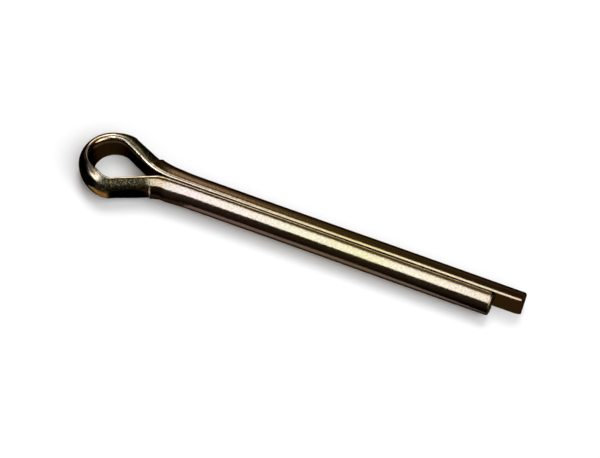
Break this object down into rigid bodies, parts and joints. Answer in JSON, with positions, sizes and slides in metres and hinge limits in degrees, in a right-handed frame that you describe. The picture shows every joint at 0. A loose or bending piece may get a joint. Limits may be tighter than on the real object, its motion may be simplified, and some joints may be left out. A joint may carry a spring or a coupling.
{
  "type": "cotter pin",
  "caption": "Split cotter pin of half-round wire bent back on itself round an eye, with closed parallel legs and one prong extended.",
  "frame": {"origin": "on the axis of the closed shank, where the two legs meet under the eye", "axes": "+X along the shank from the eye to the tips, +Z along the eye's bore, short leg on the -Y side"},
  "size_m": [0.0782, 0.0116, 0.0068],
  "materials": {
    "plated_steel": "yellow chromate over zinc plate, lengthwise draw lines"
  },
  "bodies": {
    "root": {"cotter_pin": "plated_steel"}
  },
  "joints": []
}
